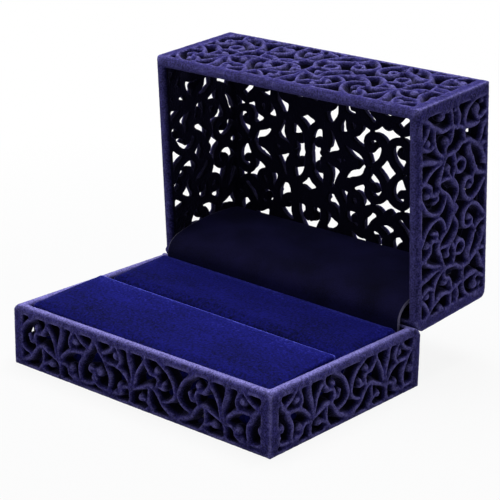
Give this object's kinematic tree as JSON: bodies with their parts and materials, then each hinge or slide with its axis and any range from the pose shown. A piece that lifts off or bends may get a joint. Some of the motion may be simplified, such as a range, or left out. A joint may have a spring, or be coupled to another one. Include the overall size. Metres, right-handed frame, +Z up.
{
  "type": "ring display box",
  "caption": "Hinged ring display box with openwork scroll walls, a padded velvet insert with one ring slot, and a lid that stands open.",
  "frame": {"origin": "centre of the base's underside, on the surface that the box stands on", "axes": "+X across the box to the right, +Y from the front to the hinge side, +Z up"},
  "size_m": [0.09, 0.0909, 0.078],
  "materials": {
    "flocked_shell": "moulded plastic under dark blue flock",
    "board": "grey-blue fibreboard",
    "velvet": "royal blue velvet over foam",
    "lining": "navy velvet on thin card",
    "hinge_steel": "plain stamped steel"
  },
  "bodies": {
    "base": {"base_floor": "flocked_shell", "base_front_wall": "flocked_shell", "base_rear_wall": "flocked_shell", "base_left_wall": "flocked_shell", "base_right_wall": "flocked_shell", "insert_board": "board", "front_pad": "velvet", "rear_pad": "velvet", "base_leaf": "hinge_steel", "hinge_pin": "hinge_steel"},
    "lid": {"lid_leaf": "hinge_steel", "lid_front_wall": "flocked_shell", "lid_rear_wall": "flocked_shell", "lid_left_wall": "flocked_shell", "lid_right_wall": "flocked_shell", "lid_top_panel": "flocked_shell", "hinge_lining": "lining"}
  },
  "joints": [
    {"name": "lid_hinge", "type": "hinge", "parent": "base", "child": "lid", "pos_m": [0, 0.0283, 0.01715], "axis": [1, 0, 0], "range_deg": [0, 86], "deforming": ["hinge_lining"]}
  ]
}
